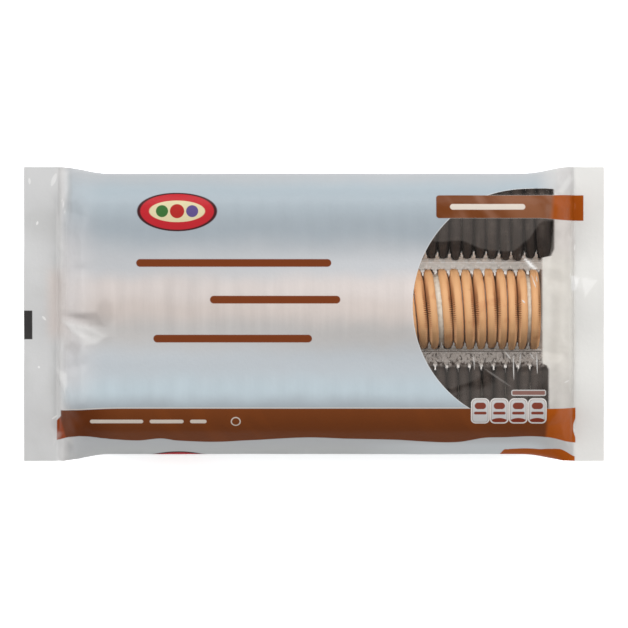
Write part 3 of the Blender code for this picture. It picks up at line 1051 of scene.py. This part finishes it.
def film_mesh(form):
    """A grid rolled round the pack, joined underneath and shut at the fins' edges."""
    ring = form.ring_lengths(SIDE_STEPS)
    places = [form.left + (form.right - form.left) * step / STATIONS for step in range(STATIONS + 1)]
    sections = [form.walk(length) for length in ring]
    bm = bmesh.new()
    bmesh.ops.create_grid(bm, x_segments=STATIONS, y_segments=len(ring) - 1, size=1.0)
    sheet = bm.loops.layers.uv.new("sheet")
    place_of = {}
    for vert in bm.verts:
        station = round((vert.co.x + 1) / 2 * STATIONS)
        step = round((vert.co.y + 1) / 2 * (len(ring) - 1))
        place_of[vert.index] = (places[station], ring[step], sections[step])
    for face in bm.faces:
        for loop in face.loops:
            x, length, _ = place_of[loop.vert.index]
            loop[sheet].uv = (x, form.printed_length(x, length))
    shine = bm.verts.layers.float.new("shine")
    for vert in bm.verts:
        x, length, section = place_of[vert.index]
        vert.co = form.point(x, length, section)
        vert[shine] = form.shine(x, length)
    bmesh.ops.recalc_face_normals(bm, faces=bm.faces)
    bm.normal_update()
    middle = min(bm.verts, key=lambda vert: (vert.co.xy.length, -vert.co.z))
    outward = 1 if middle.normal.z > 0 else -1
    moved = []
    for vert in bm.verts:
        x, length, _ = place_of[vert.index]
        rise = form.relief(x, length)
        if vert.co.z + vert.normal.z * outward * rise < LEAST_HEIGHT:
            rise = 0.0
        moved.append(vert.co + vert.normal * outward * rise)
    for vert, co in zip(bm.verts, moved):
        vert.co = co
    bmesh.ops.remove_doubles(bm, verts=bm.verts, dist=SEAM_JOIN)
    rims = [edge for edge in bm.edges if edge.is_boundary]
    for face in bmesh.ops.holes_fill(bm, edges=rims, sides=0)["faces"]:
        for loop in face.loops:
            loop[sheet].uv = (loop.vert.co.x, loop.vert.co.y)
    bmesh.ops.recalc_face_normals(bm, faces=bm.faces)
    return mesh_from(bm, "wrap_film")


def mesh_from(bm, name):
    """Turns a bmesh into a smooth mesh and frees it."""
    mesh = bpy.data.meshes.new(name)
    bm.to_mesh(mesh)
    bm.free()
    mesh.shade_smooth()
    mesh.set_sharp_from_angle(angle=SHARP_ANGLE)
    return mesh


def add_piece(name, mesh, material):
    """Links a finished piece at the origin, riding on the pack."""
    piece = bpy.data.objects.new(name, mesh)
    bpy.context.scene.collection.objects.link(piece)
    mesh.materials.append(material)
    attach(piece, BODY)
    return piece


class BuildFilm(bpy.types.Operator):
    """Wrap the pack in its printed film"""

    bl_idname = "cookie_pack.build_film"
    bl_label = "Printed film"

    def execute(self, context):
        form = FilmForm(context.scene.film_sizes, CREST_ROWS)
        film = add_piece("wrap_film", film_mesh(form), film_material())
        film.visible_shadow = False
        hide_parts(NODE)
        return {"FINISHED"}


# The tray


TRAY_HALF_LENGTH = 0.1374
TRAY_HALF_WIDTH = 0.0742
TRAY_CORNER = 0.012
TRAY_STEP = 0.00068
SIDE_WALL = 0.0030
LEFT_WALL = 0.0075
RIGHT_WALL = 0.0038
TROUGH_GAP = 0.0002
TROUGH_LIP = 0.0008
TOOTH_TIP = 0.0160
TOOTH_FOOT = 0.0228
TOOTH_END = 0.0245
TOOTH_HALF = 0.0020
TOOTH_DROP = 0.0007
TOOTH_SOFTNESS = 0.0007
LEAST_TOOTH = 0.0012


def tray_place(x, y):
    """A place of a rectangle, moved into the tray's round corners, and its distance from the edge."""
    over_x = (abs(x) - TRAY_HALF_LENGTH) / TRAY_CORNER + 1
    over_y = (abs(y) - TRAY_HALF_WIDTH) / TRAY_CORNER + 1
    edge = min(TRAY_HALF_LENGTH - abs(x), TRAY_HALF_WIDTH - abs(y))
    if over_x > 0 and over_y > 0:
        shrink = max(over_x, over_y) / math.hypot(over_x, over_y)
        x = math.copysign(TRAY_HALF_LENGTH + TRAY_CORNER * (over_x * shrink - 1), x)
        y = math.copysign(TRAY_HALF_WIDTH + TRAY_CORNER * (over_y * shrink - 1), y)
    return x, y, edge


def tray_height(x, y, edge, rows, gaps, sizes):
    """Height of the tray's upper face: troughs, ridges, teeth between the wafers, walls and a rim."""
    radius = COOKIE_RADIUS + TROUGH_GAP
    number = min(range(len(rows)), key=lambda index: abs(y - rows[index].y))
    row = rows[number]
    offset = abs(y - row.y)
    height = sizes.partition
    if offset < radius - TROUGH_LIP:
        trough = radius + sizes.tray_floor - math.sqrt(radius * radius - offset * offset)
        height = min(trough, sizes.partition)
    along = x + (y - row.y) * math.sin(row.yaw(x))
    following = bisect.bisect(gaps[number], along)
    nearest = min(abs(along - gap) for gap in gaps[number][max(following - 1, 0):following + 1])
    half = (offset - TOOTH_TIP) / (TOOTH_FOOT - TOOTH_TIP) * TOOTH_HALF
    peak = ease((half - nearest) / TOOTH_SOFTNESS + 0.5) * ease((TOOTH_END - offset) / 0.0015)
    under_rim = sizes.tray_floor + COOKIE_RADIUS + math.sqrt(max(COOKIE_RADIUS ** 2 - offset ** 2, 0.0))
    height += (max(under_rim - TOOTH_DROP, sizes.partition + LEAST_TOOTH) - height) * peak
    end_wall = RIGHT_WALL if x > 0 else LEFT_WALL
    height += (sizes.tray_rim - height) * ease(1.25 * (1 - (TRAY_HALF_LENGTH - abs(x)) / end_wall))
    height += (sizes.tray_rim - height) * ease(1.36 * (1 - edge / SIDE_WALL))
    return height


def tray_material():
    """Pale satin plastic, with painted reflections and a painted shadow as thin dark lines on the ridge by
    the lower row.
    """
    paint = Paint("tray_plastic")
    place = paint.place()
    _, y, z = paint.parts(place)
    cloud = paint.noise(place, 60.0, 3.0)
    squiggle = paint.noise(place, 620.0, 4.0, 0.6, 1.4)
    # thin dark lines along the squiggles on the ridge by the lower row: painted reflections of the dark
    # cookies in the clear plastic
    lines = paint.within(abs(squiggle - 0.5) - 0.018, 0.02)
    busy = paint.between(y, -0.0275, -0.0205, 0.0008)
    # a thin dark line along the upper edge of the ridge by the lower row: painted shadow
    edge_shadow_line = paint.within(abs(y + 0.0205) - 0.00028, 0.0003)
    # a thin light line along the ridge under the upper row: painted highlight
    ridge_highlight_line = paint.within(abs(y - 0.0282) - 0.0002, 0.0004)
    colour = paint.toned(
        bpy.context.scene.food_colours.tray,
        (paint.fade(cloud, 0.35, 0.65), ink(214, 207, 199)),
        (lines * busy * 0.75, ink(96, 86, 80)),
        (edge_shadow_line * 0.75, ink(84, 74, 68)),
        # whiter towards the teeth's tips: painted light over the shade between the dark wafers
        (paint.fade(z, 0.0268, 0.0300) * 0.9, ink(255, 252, 248)),
        (ridge_highlight_line * 0.6, (0.92, 0.92, 0.92)),
    )
    return paint.surface(colour, 0.28, squiggle * busy + cloud, 0.25, 0.0006)


class BuildTray(bpy.types.Operator):
    """Form the tray under the rows"""

    bl_idname = "cookie_pack.build_tray"
    bl_label = "Tray"

    def execute(self, context):
        sizes = context.scene.row_sizes
        rows = cookie_rows()
        gaps = [row.gaps() for row in rows]
        along = round(2 * TRAY_HALF_LENGTH / TRAY_STEP)
        across = round(2 * TRAY_HALF_WIDTH / TRAY_STEP)
        bm = bmesh.new()
        bmesh.ops.create_grid(bm, x_segments=along, y_segments=across, size=1.0)
        for vert in bm.verts:
            x, y = vert.co.x * TRAY_HALF_LENGTH, vert.co.y * TRAY_HALF_WIDTH
            x, y, edge = tray_place(x, y)
            vert.co = (x, y, tray_height(x, y, edge, rows, gaps, sizes))
        bmesh.ops.recalc_face_normals(bm, faces=bm.faces)
        mesh = mesh_from(bm, "tray")
        add_piece("tray", mesh, tray_material())
        return {"FINISHED"}


# The cookies


COOKIE_RADIUS = 0.02215
WAFER_GAP = 0.0003
THIN_CREME = 0.0007
# how much broader the creme is where it shows
VISIBLE_CREME = 1.09
CREME_EDGE = 0.985
CREME_STEPS = 56
CREME_ROUGHNESS = 0.0002
VANILLA_TEETH = 110
VANILLA_TOOTH_DEPTH = 0.0014
VANILLA_ROUGHNESS = 0.00012
CHOCOLATE_TEETH = 56
CHOCOLATE_TOOTH_DEPTH = 0.0006
CHOCOLATE_ROUGHNESS = 0.00022
VANILLA_PROFILE = (
    # through the wafer from its creme side, and out from its middle, in millimetres
    (0.0, 0.0), (0.0, 20.4), (0.25, 21.2), (0.9, 21.9), (2.2, 22.15), (3.5, 22.05), (4.4, 21.7),
    (5.0, 20.9), (5.3, 19.6), (5.4, 17.6), (5.3, 0.0),
)
CHOCOLATE_PROFILE = (
    (0.0, 0.0), (0.0, 18.2), (0.35, 19.9), (0.95, 21.4), (2.0, 22.15), (3.2, 22.1), (4.1, 21.4),
    (4.7, 19.8), (5.15, 18.0), (5.4, 16.0), (5.3, 0.0),
)
WAFER_THICKNESS = 5.4
# corners of the profile that the cuts round the rim move
TOOTH_ROOT = 5
TOOTH_EDGES = (6, 7, 8)
SAME_PLACE = 1e-6
ON_CORNER = 1e-5
# share of an end sandwich's lean that the one beside it keeps
LEAN_FADE = 0.55
# how far a sandwich's thickness may stray from its row's, in millimetres
PITCH_SPREAD = 0.4
VANILLA_TURN = math.radians(5.5)
TURN_START = 0.122
TURN_RUN = 0.060
WIDE_SANDWICHES = {
    # number from the right end: thickness of the sandwich and of its creme
    0: (0.01265, 0.0021), 1: (0.0112, THIN_CREME), 2: (0.0121, THIN_CREME),
    3: (0.0125, THIN_CREME), 4: (0.0137, 0.0030), 5: (0.0124, THIN_CREME),
}


def spun(points, steps):
    """A bmesh of points along X and out from it, turned round X."""
    bm = bmesh.new()
    verts = [bm.verts.new((x, 0.0, r)) for x, r in points]
    edges = [bm.edges.new(pair) for pair in zip(verts, verts[1:])]
    bmesh.ops.spin(
        bm, geom=verts + edges, cent=(0, 0, 0), axis=(1, 0, 0),
        angle=2 * math.pi, steps=steps, use_merge=True,
    )
    bmesh.ops.remove_doubles(bm, verts=bm.verts, dist=SAME_PLACE)
    return bm


def wafer_mesh(profile, teeth, tooth_depth):
    """One round wafer whose axis is X, its creme side at 0 and cuts round the rim of its outer face."""
    steps = teeth * 2
    bm = spun([(x * MILLI, r * MILLI) for x, r in profile], steps)
    cut = bm.verts.layers.float.new("cut")
    depths = {profile[TOOTH_ROOT]: tooth_depth / 4}
    for index in TOOTH_EDGES:
        depths[profile[index]] = tooth_depth
    for vert in bm.verts:
        radius = math.hypot(vert.co.y, vert.co.z)
        step = round(math.atan2(vert.co.z, vert.co.y) / (2 * math.pi) * steps)
        for (x, r), depth in depths.items():
            off = max(abs(vert.co.x - x * MILLI), abs(radius - r * MILLI))
            if step % 2 and off < ON_CORNER:
                vert[cut] = depth / tooth_depth
                vert.co.x -= depth / 4
                vert.co.yz = vert.co.yz * (1 - depth / radius)
    bmesh.ops.recalc_face_normals(bm, faces=bm.faces)
    return mesh_from(bm, "wafer")


def creme_mesh(radius):
    """One disc of filling, 1 mm thick, whose axis is X and whose rim bulges a little."""
    edge = radius * CREME_EDGE
    rim = ((0.0, 0.0), (0.0, edge), (0.0003, radius), (0.0007, radius), (0.001, edge), (0.001, 0.0))
    bm = spun(rim, CREME_STEPS)
    bmesh.ops.recalc_face_normals(bm, faces=bm.faces)
    return mesh_from(bm, "creme")


def straight(x):
    """Turn of sandwiches that stand square across their row."""
    return 0.0


def vanilla_turn(x):
    """Turn of the vanilla sandwiches, which grows from the row's right end leftward."""
    return VANILLA_TURN * min(max((TURN_START - x) / TURN_RUN, 0.0), 1.0)


class Row:
    """One row of sandwiches, laid from its right end to the left.

    The last ones lean in over the row, so that they stand wider apart at the foot.
    """

    def __init__(
        self, y, right_end, pitch, count, seed, loose,
        yaw=straight, lean=0.0, end_leans=(0, 0), special=None,
    ):
        self.y = y
        self.loose = loose
        self.seed = seed
        self.yaw = yaw
        self.places = []

        def tilt_of(index):
            from_right = end_leans[0] * LEAN_FADE ** index
            from_left = end_leans[1] * LEAN_FADE ** (count - 1 - index)
            return lean - from_right + from_left

        draw = random.Random(seed)
        right = right_end
        for index in range(count):
            usual = (pitch + draw.uniform(-PITCH_SPREAD, PITCH_SPREAD) * MILLI, THIN_CREME)
            width, creme = (special or {}).get(index, usual)
            tilt = tilt_of(index)
            room = COOKIE_RADIUS * abs(math.sin(math.radians(tilt_of(index + 1) - tilt)))
            shift = COOKIE_RADIUS * math.sin(math.radians(end_leans[0])) if index == 0 else 0.0
            middle = right - width / 2 - shift
            self.places.append((middle, width, creme, math.radians(tilt)))
            right = middle - width / 2 - room

    def gaps(self):
        """Places along the row between two wafers, halfway up from their middle."""
        places = []
        for middle, width, _, tilt in self.places:
            above = middle + COOKIE_RADIUS / 2 * math.sin(tilt)
            places += [above, above - width / 2]
        return sorted(places)

    def placements(self, floor):
        """Yields the transforms of each wafer and filling."""
        draw = random.Random(self.seed + 1)
        for middle, width, creme, tilt in self.places:
            wafer = (width - creme - WAFER_GAP) / 2
            yaw = self.yaw(middle) + math.radians(draw.uniform(-0.5, 0.5))
            sway = tilt + math.radians(draw.uniform(-0.7, 0.7))
            whole = Matrix.Translation((middle, self.y, COOKIE_RADIUS + floor))
            leaned = whole @ Matrix.Rotation(yaw, 4, "Z") @ Matrix.Rotation(sway, 4, "Y")
            for side in (-1, 1):
                slide = draw.uniform(-self.loose, self.loose)
                slide *= 0.5 if slide * self.y > 0 else 1.0
                shift = (side * creme / 2, slide, draw.uniform(-0.0004, 0.0))
                spin = draw.uniform(0, 2 * math.pi)
                grow = draw.uniform(0.988, 1.0)
                stretch = Matrix.Diagonal((wafer / (WAFER_THICKNESS * MILLI) * side, grow, grow, 1.0))
                yield "wafer", leaned @ Matrix.Translation(shift) @ Matrix.Rotation(spin, 4, "X") @ stretch
            back = Matrix.Translation((-creme / 2, 0.0, 0.0))
            broad = 1.0 if creme <= THIN_CREME else VISIBLE_CREME
            yield "creme", leaned @ back @ Matrix.Diagonal((creme / MILLI, broad, broad, 1.0))


def cookie_rows():
    """The three rows, from the lower to the upper."""
    sizes = bpy.context.scene.row_sizes
    lower = Row(
        sizes.lower_row, right_end=0.1275, pitch=0.0126, count=19, seed=23, loose=0.0011,
        end_leans=(5.0, 3.0),
    )
    middle = Row(
        sizes.middle_row, right_end=0.1232, pitch=0.0123, count=20, seed=5, loose=0.0010,
        yaw=vanilla_turn, lean=1.6, special=WIDE_SANDWICHES,
    )
    upper = Row(
        sizes.upper_row, right_end=0.1328, pitch=0.0131, count=19, seed=11, loose=0.0012,
        end_leans=(8.0, 3.0),
    )
    return lower, middle, upper


def fill(bm, mesh, transform, rough):
    """Adds one copy of a mesh, roughened a little so that no two are alike."""
    before = len(bm.verts)
    faces_before = len(bm.faces)
    bm.from_mesh(mesh)
    bm.verts.ensure_lookup_table()
    bm.faces.ensure_lookup_table()
    added = bm.verts[before:]
    bmesh.ops.transform(bm, matrix=transform, verts=added)
    if transform.determinant() < 0:
        bmesh.ops.reverse_faces(bm, faces=bm.faces[faces_before:])
    for vert in added:
        vert.co += noise.noise_vector(vert.co * 260) * rough


def chocolate_material():
    """Dark crumbly wafer with rubbed, dusty edges."""
    colours = bpy.context.scene.food_colours
    paint = Paint("chocolate_wafer")
    place = paint.place()
    crumb = paint.noise(place, 900.0, 4.0, 0.7)
    patch = paint.noise(place, 140.0, 3.0)
    worn = paint.fade(patch + (crumb - 0.5) * 0.4, 0.45, 0.75)
    colour = paint.mix(worn * 0.6, colours.chocolate, colours.chocolate_light)
    return paint.surface(colour, 0.72, crumb + patch, 0.5, 0.0005, {"Specular IOR Level": 0.2})


def vanilla_material():
    """Golden wafer, browner on its edges and in patches, with small dark specks and painted shade in the
    rim's cuts.
    """
    colours = bpy.context.scene.food_colours
    paint = Paint("vanilla_wafer")
    place = paint.place()
    crumb = paint.noise(place, 1000.0, 4.0, 0.65)
    patch = paint.noise(place, 95.0, 3.0, 0.55)
    edge = paint.node("ShaderNodeNewGeometry", output="Pointiness")
    browned = paint.fade(patch + (crumb - 0.5) * 0.3, 0.44, 0.74)
    browned = paint.largest(browned * 0.75, paint.fade(edge, 0.505, 0.56) * 0.4)
    cut = paint.node("ShaderNodeAttribute", {"attribute_name": "cut"}, output=2)
    specks = paint.fade(paint.noise(place, 420.0, 2.0, 0.5), 0.73, 0.77)
    colour = paint.toned(
        colours.vanilla,
        (browned, colours.vanilla_dark),
        # darker brown in the cuts round the rim: painted shade in the notches
        (paint.fade(cut, 0.35, 0.9) * 0.85, ink(142, 84, 52)),
        (specks * 0.5, ink(120, 76, 48)),
    )
    return paint.surface(colour, 0.62, crumb + patch * 0.6, 0.4, 0.0005)


def creme_material():
    """Off-white filling."""
    paint = Paint("creme")
    place = paint.place()
    grain = paint.noise(place, 500.0, 3.0)
    colour = paint.mix(
        paint.fade(grain, 0.35, 0.7), bpy.context.scene.food_colours.creme, ink(206, 192, 172)
    )
    return paint.surface(colour, 0.5, grain, 0.2, 0.0004)


def lay_row(row, wafer, creme_radius, rough):
    """Meshes of all wafers and all fillings of one row."""
    sizes = bpy.context.scene.row_sizes
    wafers = bmesh.new()
    fillings = bmesh.new()
    creme = creme_mesh(creme_radius)
    for kind, transform in row.placements(sizes.tray_floor):
        if kind == "wafer":
            fill(wafers, wafer, transform, rough)
        else:
            fill(fillings, creme, transform, CREME_ROUGHNESS)
    bpy.data.meshes.remove(creme)
    bpy.data.meshes.remove(wafer)
    return wafers, fillings


class BuildChocolate(bpy.types.Operator):
    """Stand both chocolate rows in the tray"""

    bl_idname = "cookie_pack.build_chocolate"
    bl_label = "Chocolate sandwiches"

    def execute(self, context):
        sizes = context.scene.row_sizes
        lower, _, upper = cookie_rows()
        material = chocolate_material()
        for name, row in (("upper", upper), ("lower", lower)):
            wafer = wafer_mesh(CHOCOLATE_PROFILE, CHOCOLATE_TEETH, CHOCOLATE_TOOTH_DEPTH)
            wafers, fillings = lay_row(row, wafer, sizes.hidden_creme_radius, CHOCOLATE_ROUGHNESS)
            wafers = mesh_from(wafers, "wafers_" + name)
            add_piece("chocolate_wafers_" + name, wafers, material)
            fillings = mesh_from(fillings, "creme_" + name)
            add_piece("creme_chocolate_" + name, fillings, creme_material())
        return {"FINISHED"}


class BuildVanilla(bpy.types.Operator):
    """Stand the vanilla row in the tray"""

    bl_idname = "cookie_pack.build_vanilla"
    bl_label = "Vanilla sandwiches"

    def execute(self, context):
        _, row, _ = cookie_rows()
        sizes = context.scene.row_sizes
        wafer = wafer_mesh(VANILLA_PROFILE, VANILLA_TEETH, VANILLA_TOOTH_DEPTH)
        wafers, fillings = lay_row(row, wafer, sizes.creme_radius, VANILLA_ROUGHNESS)
        wafers = mesh_from(wafers, "vanilla_wafers")
        add_piece("vanilla_wafers", wafers, vanilla_material())
        fillings = mesh_from(fillings, "creme_vanilla")
        add_piece("creme_vanilla", fillings, creme_material())
        return {"FINISHED"}


# Stage


class BuildStage(bpy.types.Operator):
    """Set the floor, the lights and the camera"""

    bl_idname = "cookie_pack.build_stage"
    bl_label = "Stage"

    def execute(self, context):
        scene = context.scene
        sizes = scene.stage_sizes
        bm = bmesh.new()
        bmesh.ops.create_grid(bm, x_segments=1, y_segments=1, size=sizes.floor / 2)
        bmesh.ops.translate(bm, verts=bm.verts, vec=(0, 0, PACK_LOW.z - 0.0001))
        floor = bpy.data.objects.new("floor", mesh_from(bm, "floor"))
        scene.collection.objects.link(floor)
        paint = Paint("floor")
        glow = {
            "Specular IOR Level": 0.1,
            "Emission Color": (1.0, 1.0, 1.0, 1.0),
            "Emission Strength": sizes.floor_glow,
        }
        paint.surface((0.92, 0.92, 0.92), 0.8, values=glow)
        floor.data.materials.append(paint.material)

        for name, place, size_x, size_y, energy in (
            ("left", (-0.95, 0.25, 0.95), 0.9, 0.45, sizes.side_power),
            ("right", (0.95, 0.25, 0.95), 0.9, 0.45, sizes.side_power),
            ("top", (0.0, 1.05, 0.85), 1.0, 0.5, sizes.top_power),
        ):
            light = bpy.data.lights.new(name, "AREA")
            light.shape = "RECTANGLE"
            light.size = size_x
            light.size_y = size_y
            light.energy = energy
            lamp = bpy.data.objects.new(name, light)
            lamp.location = place
            lamp.rotation_euler = (Vector((0, 0, 0)) - Vector(place)).to_track_quat("-Z", "Y").to_euler()
            scene.collection.objects.link(lamp)

        world = bpy.data.worlds.new("soft_room")
        world.use_nodes = True
        world.node_tree.nodes["Background"].inputs["Color"].default_value = (1.0, 1.0, 1.0, 1.0)
        world.node_tree.nodes["Background"].inputs["Strength"].default_value = sizes.room
        scene.world = world

        camera = bpy.data.cameras.new("camera")
        camera.sensor_width = 36.0
        camera.lens = camera.sensor_width * sizes.camera_height / sizes.image_width
        camera.clip_end = 20.0
        eye = bpy.data.objects.new("camera", camera)
        eye.location = (0.0, 0.0, sizes.camera_height + scene.film_sizes.fin_level)
        scene.collection.objects.link(eye)
        scene.camera = eye
        scene.view_settings.view_transform = "Standard"
        scene.cycles.transparent_max_bounces = 16
        return {"FINISHED"}


class CookiePackPanel(bpy.types.Panel):
    """Sizes, colours and the building steps of the cookie pack"""

    bl_idname = "VIEW3D_PT_cookie_pack"
    bl_label = "Cookie pack"
    bl_space_type = "VIEW_3D"
    bl_region_type = "UI"
    bl_category = "Cookie pack"

    def draw(self, context):
        layout = self.layout
        for operator in OPERATORS:
            layout.operator(operator.bl_idname)
        for name, group in GROUPS.items():
            box = layout.box()
            box.label(text=name.replace("_", " ").capitalize())
            for field in group.__annotations__:
                box.prop(getattr(context.scene, name), field)


OPERATORS = (BuildFilm, BuildTray, BuildChocolate, BuildVanilla, BuildStage)


def register():
    """Adds the classes and the scene's settings."""
    for group in GROUPS.values():
        bpy.utils.register_class(group)
    for operator in OPERATORS:
        bpy.utils.register_class(operator)
    bpy.utils.register_class(CookiePackPanel)
    for name, group in GROUPS.items():
        setattr(bpy.types.Scene, name, bpy.props.PointerProperty(type=group))


def unregister():
    """Takes the classes and the settings away again."""
    for name in GROUPS:
        delattr(bpy.types.Scene, name)
    bpy.utils.unregister_class(CookiePackPanel)
    for operator in reversed(OPERATORS):
        bpy.utils.unregister_class(operator)
    for group in reversed(GROUPS.values()):
        bpy.utils.unregister_class(group)


def main():
    """Builds every piece and the stage."""
    register()
    bpy.ops.cookie_pack.build_stage()
    bpy.ops.cookie_pack.build_tray()
    bpy.ops.cookie_pack.build_chocolate()
    bpy.ops.cookie_pack.build_vanilla()
    bpy.ops.cookie_pack.build_film()


if __name__ == "__main__":
    main()
